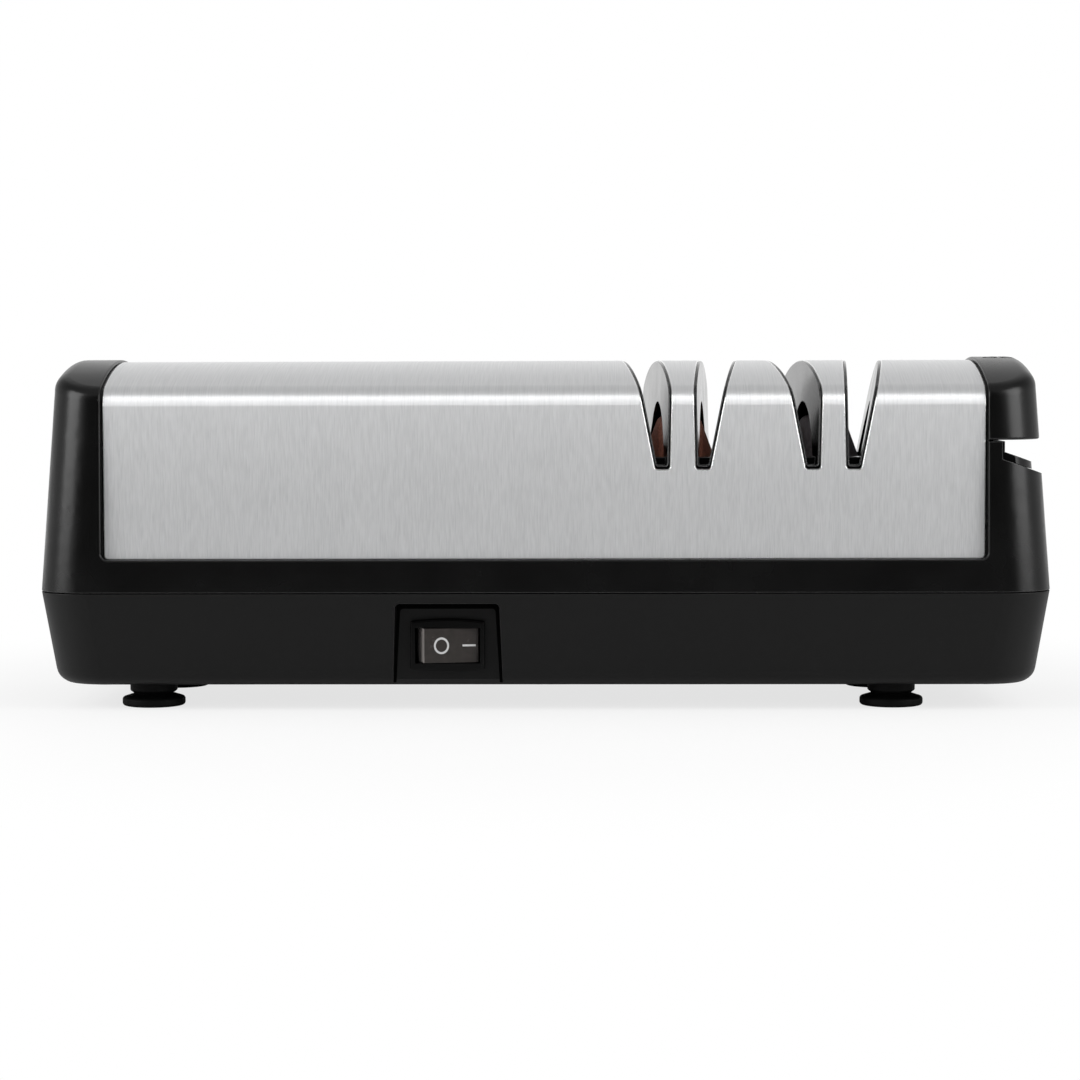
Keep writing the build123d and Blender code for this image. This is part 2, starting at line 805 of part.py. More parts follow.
def wheel_spring(x, side):
    """Compression spring between the hub's collar and the wheel's pocket, one unbroken helix."""
    pitch = spring_pitch()
    steps = 4 * spring_turns
    arcs = []
    for step in range(steps):
        low, high = step / 4, (step + 1) / 4
        ends = helix_point(low, pitch), helix_tangent(low, pitch)
        arcs += biarc(*ends, helix_point(high, pitch), helix_tangent(high, pitch))
    path = Wire(arcs)
    start = Plane(origin=helix_point(0, pitch), z_dir=helix_tangent(0, pitch))
    coil = sweep(start * Circle(spring_wire / 2), path=path)
    seat = collar_width / 2 + spring_end_gap + spring_wire / 2
    return Pos(x + side * seat, 0, axis_height) * Rot(0, 90 * side, 0) * coil


def retainers(x):
    rings = []
    for side in sides.values():
        low, high = retainer_in, retainer_in + retainer_width
        inner = hub_radius - retainer_groove + shaft_fit
        outline = [(low, inner), (high, inner), (high, retainer_radius), (low, retainer_radius)]
        ring = turned(outline, x, side)
        gap = span_box(-body_length, body_length, -inner / 2, inner / 2, 0, axis_height)
        rings.append(ring - gap)
    return Compound(rings)


def stage_spacer():
    return tube(coarse_x + hub_half, fine_x - hub_half, hub_radius, shaft_radius + shaft_fit)


def drive_shaft():
    return bar(shaft_start, shaft_end, shaft_radius)


def scissors_wheel():
    """Small cup-backed wheel on the end of the shaft, facing the notch."""
    bore = shaft_radius + shaft_fit
    right = scissors_wheel_right
    left = right - scissors_wheel_width
    points = [
        (left - scissors_wheel_width, bore),
        (right, bore),
        (right, scissors_wheel_radius),
        (left, scissors_wheel_radius),
        (left, collar_radius),
        (left - scissors_wheel_width, hub_radius),
    ]
    return turned(points)


def shaft_coupling():
    half = coupling_length / 2
    body = tube(coupling_middle - half, coupling_middle + half, coupling_radius, shaft_radius + shaft_fit)
    for x in (coupling_middle - half / 2, coupling_middle + half / 2):
        body -= upright(screw_radius, axis_height, axis_height + 2 * coupling_radius, x, 0)
    return body


# Motor
def motor_can():
    """Drawn steel can, closed at the drive end around the shaft."""
    inner = motor_radius - motor_wall
    points = [
        (motor_back, inner),
        (motor_front - motor_wall, inner),
        (motor_front - motor_wall, shaft_radius + running_fit),
        (motor_front, shaft_radius + running_fit),
        (motor_front, motor_radius),
        (motor_back, motor_radius),
    ]
    return turned(points)


def motor_end_bell():
    """Cup that closes the can behind the commutator and carries the rotor's rear end."""
    bore = shaft_radius + running_fit
    inner = motor_radius - motor_wall
    back = motor_back - end_bell_length
    points = [
        (motor_back, inner),
        (motor_back, motor_radius),
        (back, motor_radius),
        (back, bore),
        (back + end_bell_floor, bore),
        (back + end_bell_floor, inner),
    ]
    return turned(points)


def motor_magnets():
    outer = motor_radius - motor_wall - shaft_fit
    ring = tube(motor_back + rotor_end, motor_front - rotor_end, outer, outer - magnet_depth)
    wedge_angle = magnet_arc / 2
    reach = 2 * motor_radius
    rise = reach * tan(90 - wedge_angle)
    group = []
    for side in (-1, 1):
        points = [(0, 0), (side * reach, rise), (side * reach, -rise)]
        wedge = Plane.YZ * make_face(Polyline(*points, close=True))
        sector = extrude(wedge, amount=body_length, both=True)
        group.append(ring & (Pos(0, 0, axis_height) * sector))
    return Compound(group)


def motor_rotor():
    """Armature stack, commutator and the motor's own shaft."""
    stack = motor_radius - motor_wall - shaft_fit - magnet_depth - rotor_gap
    low = motor_back + rotor_end
    high = motor_front - rotor_end
    commutator_end = low - commutator_length
    points = [
        (motor_back - end_bell_length, 0),
        (motor_shaft_end, 0),
        (motor_shaft_end, shaft_radius),
        (high, shaft_radius),
        (high, stack),
        (low, stack),
        (low, commutator_radius),
        (commutator_end, commutator_radius),
        (commutator_end, shaft_radius),
        (motor_back - end_bell_length, shaft_radius),
    ]
    return turned(points)


def saddle_starts():
    back = motor_back + saddle_inset
    front = motor_front - saddle_inset - saddle_width
    return (back, front)


def motor_cradle():
    """Base plate with two saddles under the motor can."""
    top = floor_height + cradle_plate
    x_low = min(saddle_starts())
    x_high = max(saddle_starts()) + saddle_width
    cradle = span_box(x_low, x_high, -cradle_half, cradle_half, floor_height, top)
    wide_low = floor_height + saddle_lift
    for x in saddle_starts():
        x_high = x + saddle_width
        cradle += span_box(x, x_high, -cradle_half, cradle_half, floor_height, saddle_top)
        cradle += span_box(x, x_high, -saddle_half, saddle_half, wide_low, saddle_top)
    return cradle - bar(motor_back - wall, motor_front + wall, motor_radius + strap_fit) - strap_holes()


def strap_screw_places():
    ear = saddle_half - ear_width / 2
    return [(x + saddle_width / 2, side * ear) for x in saddle_starts() for side in (-1, 1)]


def strap_holes():
    low = saddle_top - screw_bite - screw_fit
    high = saddle_top + cut_past
    return Compound([upright(screw_radius + screw_fit, low, high, x, y) for x, y in strap_screw_places()])


def motor_straps():
    """Steel straps over the can, screwed to the saddles."""
    inner = motor_radius + strap_fit
    straps = []
    for x in saddle_starts():
        x_high = x + saddle_width
        ears = span_box(x, x_high, -saddle_half, saddle_half, saddle_top, saddle_top + strap_thick)
        ring = bar(x, x_high, inner + strap_thick)
        ring &= span_box(x, x_high, -saddle_half, saddle_half, saddle_top, axis_height + 2 * motor_radius)
        straps.append((ears + ring) - bar(x - wall, x_high + wall, inner) - strap_holes())
    return Compound(straps)


def strap_screws():
    seat = saddle_top + strap_thick
    turn = Rot(180, 0, 0)
    length = screw_bite + strap_thick
    return Compound([Pos(x, y, seat) * turn * screw(length) for x, y in strap_screw_places()])


# Bearings
def bearing_block(x):
    """Pillow block: foot, tapered web and a round eye for the bush."""
    low = floor_height
    x_low, x_high = x - block_width / 2, x + block_width / 2
    block = bar(x_low, x_high, block_radius)
    block += span_box(x_low, x_high, -block_web, block_web, low, axis_height)
    block += span_box(x_low, x_high, -block_foot, block_foot, low, low + block_foot_height)
    block -= bar(x_low - wall, x_high + wall, bush_radius + shaft_fit)
    for y in block_screw_offsets():
        block -= upright(screw_radius + screw_fit, 0, low + 2 * block_foot_height, x, y)
    return block


def block_screw_offsets():
    middle = (block_web + block_foot) / 2
    return (-middle, middle)


def block_screws():
    seat = floor_height + block_foot_height
    turn = Rot(180, 0, 0)
    places = [(x, y) for x in (left_block_x, right_block_x) for y in block_screw_offsets()]
    return Compound([Pos(x, y, seat) * turn * screw(block_foot_height) for x, y in places])


def bush(x):
    inner = shaft_radius + running_fit
    low, high = x - block_width / 2, x + block_width / 2
    points = [
        (low - bush_flange_width, inner),
        (high, inner),
        (high, bush_radius),
        (low, bush_radius),
        (low, bush_flange),
        (low - bush_flange_width, bush_flange),
    ]
    return turned(points)


def all_pieces():
    pieces = {
        "base_tray": base_tray(),
        "upper_housing": upper_housing(),
        "steel_cover": steel_cover(),
        "scissors_hood": scissors_hood(),
        "scissors_guide": scissors_guide(),
        "scissors_wheel": scissors_wheel(),
        "stage_spacer": stage_spacer(),
        "drive_shaft": drive_shaft(),
        "shaft_coupling": shaft_coupling(),
        "motor_can": motor_can(),
        "motor_end_bell": motor_end_bell(),
        "motor_magnets": motor_magnets(),
        "motor_rotor": motor_rotor(),
        "motor_cradle": motor_cradle(),
        "motor_straps": motor_straps(),
        "strap_screws": strap_screws(),
        "left_bearing_block": bearing_block(left_block_x),
        "right_bearing_block": bearing_block(right_block_x),
        "left_bush": bush(left_block_x),
        "right_bush": bush(right_block_x),
        "block_screws": block_screws(),
        "housing_screws": housing_screws(),
        "hood_screws": hood_screws(),
        "switch_body": switch_body(),
        "switch_rocker": switch_rocker(),
        "switch_terminals": switch_terminals(),
        "cord_gland": cord_gland(),
    }
    for stage, x in stages.items():
        pieces[f"{stage}_hub"] = stage_hub(x)
        pieces[f"{stage}_retainers"] = retainers(x)
        for hand, side in sides.items():
            pieces[f"{stage}_{hand}_guide"] = slot_guide(x, side)
            pieces[f"{stage}_{hand}_abrasive"] = abrasive_ring(x, side)
            pieces[f"{stage}_{hand}_core"] = wheel_core(x, side)
            pieces[f"{stage}_{hand}_spring"] = wheel_spring(x, side)
    for name, place in foot_places().items():
        pieces[name] = foot(*place)
    return pieces


os.makedirs("parts", exist_ok=True)
for node, shape in all_pieces().items():
    export_step(shape, f"parts/{node}.step")
print("least gap between spring turns", round(spring_pitch() - spring_wire, 2), "mm")
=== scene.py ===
import json
import math

import bmesh
import bpy
from mathutils import Matrix, Vector


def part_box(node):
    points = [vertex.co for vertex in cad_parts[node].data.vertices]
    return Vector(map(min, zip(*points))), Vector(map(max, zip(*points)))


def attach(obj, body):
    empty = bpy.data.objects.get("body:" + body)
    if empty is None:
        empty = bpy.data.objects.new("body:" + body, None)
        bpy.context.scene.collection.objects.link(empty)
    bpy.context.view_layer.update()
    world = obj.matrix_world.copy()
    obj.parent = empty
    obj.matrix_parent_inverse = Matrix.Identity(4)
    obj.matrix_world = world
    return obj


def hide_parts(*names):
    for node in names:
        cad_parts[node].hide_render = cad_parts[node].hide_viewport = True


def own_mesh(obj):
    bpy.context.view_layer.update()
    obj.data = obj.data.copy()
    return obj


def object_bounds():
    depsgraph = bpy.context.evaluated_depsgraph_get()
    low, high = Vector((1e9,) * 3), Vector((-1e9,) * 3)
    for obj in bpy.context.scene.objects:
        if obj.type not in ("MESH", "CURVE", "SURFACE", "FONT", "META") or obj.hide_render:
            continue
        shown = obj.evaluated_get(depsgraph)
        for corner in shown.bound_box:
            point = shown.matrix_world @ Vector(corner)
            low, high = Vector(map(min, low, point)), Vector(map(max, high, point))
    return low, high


# Electric knife sharpener: finishes, marks, studio and camera. Metres, in the frame of the solids.
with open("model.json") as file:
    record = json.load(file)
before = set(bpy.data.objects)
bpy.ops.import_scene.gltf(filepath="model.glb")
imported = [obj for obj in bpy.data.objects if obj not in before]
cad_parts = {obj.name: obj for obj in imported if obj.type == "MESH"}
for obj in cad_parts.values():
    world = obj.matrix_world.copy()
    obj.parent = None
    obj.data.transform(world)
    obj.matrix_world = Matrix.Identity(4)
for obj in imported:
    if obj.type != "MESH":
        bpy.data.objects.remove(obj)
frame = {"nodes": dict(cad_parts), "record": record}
cad_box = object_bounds()
mm = 0.001
look_from = 1.0           # how far off a ray starts that looks for a surface

# Camera at the photograph's viewing angle
camera_place = Vector((0.0160, -0.8600, 0.0981))
camera_aim = Vector((-0.0009, -0.0415, 0.0486))
camera_roll = -0.162      # degrees
camera_lens = 97.04       # millimetres, as the sensor's width is
sensor_width = 36.0

# Floor; each fade runs between two distances from the middle of the object
floor_radius = 4.0
floor_steps = 96
floor_rough = 0.7
floor_specular = 0.1
floor_colour = (0.90, 0.90, 0.90, 1)
floor_far_colour = (0.25, 0.25, 0.25, 1)    # outside the view
floor_card_colour = (0.05, 0.05, 0.05, 1)   # dark card on the floor in front
floor_far_fade = (0.25, 0.36)
floor_seen_fade = (0.15, 0.27)      # lit floor gives way to white for the camera
floor_seen_least = 0.75             # share of white under the object
floor_gloss_fade = (0.55, 1.20)     # the same as reflections see it

# Light
fill_strength = 0.66
sky_fade = (0.10, 0.66)             # sine of the elevation where reflections lose their white
sky_overhead = 0.50
front_zone = (0.64, 0.80)           # cosine of the angle to the dark front of the studio
front_level = 0.05
corner_zone = (0.30, 0.60)          # sideways share of a direction to the grey rear corners
corner_depth = (-0.10, 0.15)        # rearward share of it
corner_level = 0.55
light_aim = (0.0, 0.0, 0.05)
front_light = dict(place=(0.0, -0.92, 0.78), size=(1.6, 0.66), power=0.16)
side_light_turn = {"left_light": -69.0, "right_light": 66.0}   # degrees from the front
side_light_reach = 0.86
side_light_height = 0.37
side_light_size = (0.43, 0.60)
side_light_power = 4.2

# Patterns in the finishes
noise_span = (0.3, 0.7)             # where most of a noise's values lie
plain_detail = 2.0
rich_detail = 3.0
edge_samples = 6
edge_turn = (0.006, 0.06)           # how far a rounded edge turns before it shows as one

# Brushed steel; strokes and clouds in features per metre along X, Y and Z
steel_tones = ((0.845, 0.852, 0.860), (0.975, 0.980, 0.987))
steel_strokes = (3100, 40, 210)
steel_clouds = (90, 40, 40)
steel_cloud_share = 0.12
steel_rough = (0.47, 0.51)
steel_metallic = 0.80
steel_grain = 0.97                  # how far the strokes draw highlights out, from 0 to 1
steel_grain_turn = 0.25             # of a full turn
steel_relief = 0.0012 * mm
steel_relief_strength = 0.5
steel_soft_edge = 0.5 * mm
# The cut edges are painted white: a painted highlight that stands in for the light they catch; their lower
# roughness is real.
steel_edge_highlight_colour = (1.0, 1.0, 1.0, 1)
steel_edge_width = 0.70 * mm
steel_edge_rough = 0.14

# Plain finishes in grey tones, most of them plastic; a finish's edge tone, where one is given, is a painted
# highlight: a paler tone along the edges that stands in for the light they catch
plastic_grain_scale = 3500          # features per metre
plastic_cloud_scale = 60
plastic_rough_spread = 0.03
plastic_relief_strength = 0.6
plastics = {
    "housing_black": dict(
        dark=0.0026, light=0.0034, rough=0.26, specular=0.26, grain=0.0015 * mm, edge=0.26 * mm, edge_highlight_tone=0.070
    ),
    "base_black": dict(
        dark=0.0014, light=0.0022, rough=0.42, specular=0.22, grain=0.006 * mm, edge=0.30 * mm, edge_highlight_tone=0.020
    ),
    "guide_black": dict(
        dark=0.0010, light=0.0016, rough=0.13, specular=0.25, grain=0.0004 * mm, edge=0.13 * mm, edge_highlight_tone=0.420
    ),
    "switch_black": dict(
        dark=0.0005, light=0.0009, rough=0.20, specular=0.12, grain=0.001 * mm, edge=0.20 * mm
    ),
    # Painted shade: near black, for the strip that stands in for the shadowed recess wall round the switch
    # panel.
    "shade_strip_black": dict(
        dark=0.0003, light=0.0006, rough=0.60, specular=0.02, grain=0.001 * mm, edge=0.05 * mm
    ),
    "mark_black": dict(
        dark=0.0020, light=0.0040, rough=0.70, specular=0.03, grain=0.002 * mm, edge=0.05 * mm
    ),
    "foot_rubber": dict(
        dark=0.0016, light=0.0050, rough=0.55, specular=0.10, grain=0.020 * mm, edge=0.2 * mm,
        grain_scale=4000,
    ),
    "inner_plastic": dict(
        dark=0.040, light=0.050, rough=0.50, specular=0.40, grain=0.006 * mm, edge=0.3 * mm
    ),
    "ferrite": dict(
        dark=0.035, light=0.045, rough=0.65, specular=0.30, grain=0.010 * mm, edge=0.3 * mm
    ),
    "white_mark": dict(
        dark=0.50, light=0.56, rough=0.40, specular=0.30, grain=0.001 * mm, edge=0.02 * mm
    ),
}

# Smoked rocker
rocker_tones = ((0.027, 0.024, 0.022), (0.036, 0.031, 0.029))
# The end facets are painted paler than the face: painted light that stands in for the light they catch.
rocker_lit_end_colour = (0.20, 0.185, 0.178, 1)
rocker_end_turn = (0.55, 0.95)      # sideways share of a normal where the face becomes an end with the painted light
rocker_cloud_scale = 400            # features per metre
rocker_rough = (0.22, 0.28)
rocker_specular = 0.20
rocker_relief = 0.002 * mm
rocker_relief_strength = 0.4
rocker_edge = 0.2 * mm

# Abrasives; grains for each metre
abrasives = {
    "coarse_abrasive": dict(dark=(0.42, 0.135, 0.088), light=(0.76, 0.31, 0.21), grains=4200),
    "fine_abrasive": dict(dark=(0.110, 0.097, 0.103), light=(0.240, 0.212, 0.224), grains=7000),
}
abrasive_rough = (0.55, 0.85)
abrasive_specular = 0.35
abrasive_relief = 0.08 * mm
abrasive_relief_strength = 0.7

# Plain metals; tool marks in features per metre along X, Y and Z
even_marks = (900, 900, 900)
long_marks = (2500, 300, 300)
metals = {
    "zinc_steel": dict(dark=(0.44, 0.44, 0.44), light=(0.54, 0.54, 0.54), rough=0.35, marks=even_marks),
    "screw_steel": dict(dark=(0.36, 0.36, 0.36), light=(0.46, 0.46, 0.46), rough=0.30, marks=even_marks),
    "shaft_steel": dict(dark=(0.50, 0.50, 0.50), light=(0.60, 0.60, 0.60), rough=0.22, marks=long_marks),
    "aluminium": dict(dark=(0.62, 0.62, 0.62), light=(0.74, 0.74, 0.74), rough=0.30, marks=long_marks),
    "bronze": dict(dark=(0.48, 0.31, 0.13), light=(0.60, 0.40, 0.19), rough=0.40, marks=even_marks),
}
metal_rough_spread = (-0.05, 0.08)
metal_relief = 0.01 * mm
metal_relief_strength = 0.3
metal_edge = 0.15 * mm

# Finishes that aren't named like their slot, and nodes that have a finish of their own
slot_finishes = {"brushed_cover": "brushed_steel", "black_plastic": "housing_black"}
node_finishes = {"base_tray": "base_black"}

# Switch marks
rocker_tilt = 9.0         # degrees, as the rocker rests
rocker_reach = 6.5 * mm   # pivot to the rocker's face
mark_proud = 0.03 * mm
mark_sunk = 0.05 * mm
ring_x = -2.75 * mm
ring_radius = 2.15 * mm
ring_height = 1.10        # the ring is taller than wide
ring_line = 0.54 * mm
ring_steps = 64
bar_x = 5.1 * mm
bar_size = (3.75 * mm, 0.55 * mm)

# Dark strip of painted shade round the switch panel, where the recess wall lies in shadow
panel_width = 28.8 * mm   # at its top
panel_splay = 2.8         # degrees, widening downwards
panel_corner = 1.0 * mm
panel_top_gap = 3.1 * mm  # base's upper edge to the panel's top
shade_strip_width = 0.85 * mm
shade_strip_top = 1.75 * mm    # the overhang hides part of it
shade_strip_proud = 0.06 * mm
shade_strip_foot = 1.0 * mm    # above the underside of the base
corner_steps = 6

# Scissors pictogram on the hood
pictogram_place = (132.2 * mm, -7.0 * mm)
pictogram_proud = 0.03 * mm
pictogram_line = 0.75 * mm
handle_radius = 1.75 * mm
handle_x = 2.5 * mm
handle_steps = 32
blade_tip = (1.9 * mm, 13.0 * mm)
blade_steps = 12


# Shader helpers
def new_material(name):
    """Material with a principled shader; returns the material, its node tree and the shader."""
    made = bpy.data.materials.new(name)
    made.use_nodes = True
    return made, made.node_tree, made.node_tree.nodes["Principled BSDF"]


def feed(tree, socket, value):
    """Give a socket its value: a link from another socket, or a constant."""
    if isinstance(value, bpy.types.NodeSocket):
        tree.links.new(value, socket)
    else:
        socket.default_value = value


def set_inputs(tree, node, values):
    """Feed a node's inputs by their names."""
    for name, value in values.items():
        feed(tree, node.inputs[name], value)


def operate(tree, kind, operation, values):
    """Math or vector math node on sockets and constants; returns its outputs."""
    made = tree.nodes.new(kind)
    made.operation = operation
    for socket, value in zip(made.inputs, values):
        feed(tree, socket, value)
    return made.outputs


def math_node(tree, operation, *values):
    """Result of a calculation with numbers."""
    return operate(tree, "ShaderNodeMath", operation, values)["Value"]


def vector_node(tree, operation, output, *vectors):
    """Result of a calculation with vectors, from the output named."""
    return operate(tree, "ShaderNodeVectorMath", operation, vectors)[output]


def product(tree, first, *others):
    """Product of sockets and numbers."""
    for other in others:
        first = math_node(tree, "MULTIPLY", first, other)
    return first


def rest_of(tree, share):
    """One less a share."""
    return math_node(tree, "SUBTRACT", 1.0, share)


def component(tree, vector, axis):
    """One component of a vector."""
    split = tree.nodes.new("ShaderNodeSeparateXYZ")
    feed(tree, split.inputs["Vector"], vector)
    return split.outputs[axis]


def coordinates(tree, kind):
    """Texture coordinates of a kind."""
    return tree.nodes.new("ShaderNodeTexCoord").outputs[kind]


def ramp(tree, value, span, result=(0.0, 1.0), kind="LINEAR"):
    """A value mapped from a span onto a pair of results, and held beyond it."""
    made = tree.nodes.new("ShaderNodeMapRange")
    made.interpolation_type = kind
    names = ("From Min", "From Max", "To Min", "To Max")
    set_inputs(tree, made, dict(zip(names, (*span, *result))))
    feed(tree, made.inputs["Value"], value)
    return made.outputs["Result"]


def fade(tree, value, span, result=(0.0, 1.0)):
    """A ramp with smooth ends."""
    return ramp(tree, value, span, result, "SMOOTHSTEP")


def mixed(tree, kind, factor, first, second):
    """Mix of two numbers (FLOAT) or two colours (RGBA)."""
    mix = tree.nodes.new("ShaderNodeMix")
    mix.data_type = kind
    set_inputs(tree, mix, {"Factor": factor, "A": first, "B": second})
    return mix.outputs["Result"]


def noise(tree, scale, detail, stretch=(1, 1, 1)):
    """Noise in the object's own metres; scale times stretch is in features per metre."""
    mapping = tree.nodes.new("ShaderNodeMapping")
    set_inputs(tree, mapping, {"Vector": coordinates(tree, "Object"), "Scale": stretch})
    texture = tree.nodes.new("ShaderNodeTexNoise")
    set_inputs(tree, texture, {"Vector": mapping.outputs["Vector"], "Scale": scale, "Detail": detail})
    return texture.outputs["Fac"]


def tint(tree, value, dark, light):
    """Colour between two tones, chosen by a noise value."""
    made = tree.nodes.new("ShaderNodeValToRGB")
    for stop, position, tone in zip(made.color_ramp.elements, noise_span, (dark, light)):
        stop.position = position
        stop.color = (*tone, 1)
    feed(tree, made.inputs["Fac"], value)
    return made.outputs["Color"]


def rounded(tree, width):
    """Normal of the surface with its edges rounded by a width."""
    soft = tree.nodes.new("ShaderNodeBevel")
    soft.samples = edge_samples
    feed(tree, soft.inputs["Radius"], width)
    return soft.outputs["Normal"]


def edge_mask(tree, width):
    """One along the edges, nought on the faces: where a rounding of this width turns the surface."""
    plain = tree.nodes.new("ShaderNodeNewGeometry").outputs["True Normal"]
    turn = vector_node(tree, "DOT_PRODUCT", "Value", rounded(tree, width), plain)
    return ramp(tree, turn, [1 - number for number in edge_turn])


def relief(tree, shader, height, depth, strength, edge=None):
    """Bump of a real depth, over edges rounded by a width where one is given."""
    bump = tree.nodes.new("ShaderNodeBump")
    set_inputs(tree, bump, {"Distance": depth, "Strength": strength, "Height": height})
    if edge:
        feed(tree, bump.inputs["Normal"], rounded(tree, edge))
    feed(tree, shader.inputs["Normal"], bump.outputs["Normal"])


# Finishes
def brushed_steel():
    """Stainless sheet with short fine strokes that run up the front and over the crown; its cut edges are
    painted white as a painted highlight, and are smoother.
    """
    made, tree, shader = new_material("brushed_steel")
    strokes = noise(tree, 1.0, rich_detail, steel_strokes)
    clouds = noise(tree, 1.0, plain_detail, steel_clouds)
    sheet = tint(tree, mixed(tree, "FLOAT", steel_cloud_share, strokes, clouds), *steel_tones)
    sheet_rough = ramp(tree, strokes, noise_span, steel_rough)
    # Painted highlight: along the cut edges the colour turns white, and the roughness drops.
    edges = edge_mask(tree, steel_edge_width)
    grain = tree.nodes.new("ShaderNodeTangent")
    grain.direction_type = "RADIAL"
    grain.axis = "X"
    set_inputs(tree, shader, {
        "Base Color": mixed(tree, "RGBA", edges, sheet, steel_edge_highlight_colour),
        "Roughness": mixed(tree, "FLOAT", edges, sheet_rough, steel_edge_rough),
        "Metallic": steel_metallic,
        "Anisotropic": steel_grain,
        "Anisotropic Rotation": steel_grain_turn,
        "Tangent": grain.outputs["Tangent"],
    })
    relief(tree, shader, strokes, steel_relief, steel_relief_strength, steel_soft_edge)
    return made


def plastic(name, dark, light, rough, specular, grain, edge, edge_highlight_tone=None, grain_scale=plastic_grain_scale):
    """Plain moulded finish: faint grain, slightly uneven gloss, softened edges that may carry a painted
    highlight.
    """
    made, tree, shader = new_material(name)
    fine = noise(tree, grain_scale, plain_detail)
    broad = noise(tree, plastic_cloud_scale, rich_detail)
    colour = tint(tree, broad, (dark, dark, dark), (light, light, light))
    # Painted highlight: a paler tone along the edges, where one is given.
    if edge_highlight_tone:
        colour = mixed(tree, "RGBA", edge_mask(tree, edge), colour, (edge_highlight_tone, edge_highlight_tone, edge_highlight_tone, 1))
    gloss = (rough - plastic_rough_spread, rough + plastic_rough_spread)
    set_inputs(tree, shader, {
        "Base Color": colour,
        "Roughness": ramp(tree, broad, noise_span, gloss),
        "Specular IOR Level": specular,
    })
    relief(tree, shader, fine, grain, plastic_relief_strength, edge)
    return made


def smoked_plastic():
    """Smoked rocker, with end facets painted paler than its face: painted light that stands in for the
    light they catch.
    """
    made, tree, shader = new_material("smoked_rocker")
    # Painted light: facets that face sideways get the paler end colour.
    sideways = math_node(tree, "ABSOLUTE", component(tree, coordinates(tree, "Normal"), "X"))
    ends = ramp(tree, sideways, rocker_end_turn)
    cloud = noise(tree, rocker_cloud_scale, plain_detail)
    face = tint(tree, cloud, *rocker_tones)
    set_inputs(tree, shader, {
        "Base Color": mixed(tree, "RGBA", ends, face, rocker_lit_end_colour),
        "Roughness": ramp(tree, cloud, noise_span, rocker_rough),
        "Specular IOR Level": rocker_specular,
    })
    relief(tree, shader, cloud, rocker_relief, rocker_relief_strength, rocker_edge)
    return made


def grit(name, dark, light, grains):
    """Bonded abrasive: coloured grains and a rough, pitted face."""
    made, tree, shader = new_material(name)
    cells = tree.nodes.new("ShaderNodeTexVoronoi")
    set_inputs(tree, cells, {"Vector": coordinates(tree, "Object"), "Scale": grains})
    split = tree.nodes.new("ShaderNodeSeparateColor")
    feed(tree, split.inputs["Color"], cells.outputs["Color"])
    set_inputs(tree, shader, {
        "Base Color": tint(tree, split.outputs["Red"], dark, light),
        "Roughness": ramp(tree, split.outputs["Green"], noise_span, abrasive_rough),
        "Specular IOR Level": abrasive_specular,
    })
    relief(tree, shader, cells.outputs["Distance"], abrasive_relief, abrasive_relief_strength)
    return made


def metal(name, dark, light, rough, marks):
    """Plain worked metal with faint tool marks."""
    made, tree, shader = new_material(name)
    pattern = noise(tree, 1.0, rich_detail, marks)
    gloss = [rough + change for change in metal_rough_spread]
    set_inputs(tree, shader, {
        "Base Color": tint(tree, pattern, dark, light),
        "Roughness": ramp(tree, pattern, noise_span, gloss),
        "Metallic": 1.0,
    })
    relief(tree, shader, pattern, metal_relief, metal_relief_strength, metal_edge)
    return made


def make_materials():
    """All finishes by their names."""
    finishes = {"brushed_steel": brushed_steel(), "smoked_rocker": smoked_plastic()}
    for make, rows in ((plastic, plastics), (grit, abrasives), (metal, metals)):
        for name, row in rows.items():
            finishes[name] = make(name, **row)
    return finishes


def dress_nodes(finishes):
    """Give every CAD node its own finish or that of its slot."""
    slots = {row["node"]: row["material_slot"] for row in frame["record"]["subparts"]}
    for name, node in frame["nodes"].items():
        slot = slots[name]
        finish = node_finishes.get(name, slot_finishes.get(slot, slot))
        node.data.materials.clear()
        node.data.materials.append(finishes[finish])


# Springs behind the wheels
def springs(finishes):
    """Copies of the springs behind the wheels, in screw steel, that ride on the drive; the CAD springs are
    hidden.
    """
    for wheel in ("coarse_left", "coarse_right", "fine_left", "fine_right"):
        node = frame["nodes"][wheel + "_spring"]
        coil = bpy.data.objects.new(wheel + "_coil", node.data.copy())
        coil.matrix_world = node.matrix_world.copy()
        bpy.context.collection.objects.link(coil)
        coil.data.materials.clear()
        coil.data.materials.append(finishes["screw_steel"])
        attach(coil, "drive")
        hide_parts(wheel + "_spring")
        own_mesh(coil)


# Marks on the rocker
def mesh_piece(name, build, finish, body):
    """New piece from a bmesh filled by build, riding on a body."""
    mesh = bpy.data.meshes.new(name)
    shape = bmesh.new()
    build(shape)
    bmesh.ops.recalc_face_normals(shape, faces=shape.faces)
    shape.to_mesh(mesh)
    shape.free()
    mesh.materials.append(finish)
    piece = bpy.data.objects.new(name, mesh)
    bpy.context.collection.objects.link(piece)
    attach(piece, body)


def rocker_frame():
    """Frame on the rocker's face: X across, Y up, Z out of the face."""
    joint = next(row for row in frame["record"]["behaviour"]["joints"] if row["name"] == "rocker_tilt")
    turn = Matrix.Rotation(math.radians(rocker_tilt), 4, "Z")
    stand = Matrix.Rotation(math.radians(90), 4, "X")
    out = Matrix.Translation((0, -rocker_reach, 0))
    return Matrix.Translation(joint["pos_m"]) @ turn @ out @ stand


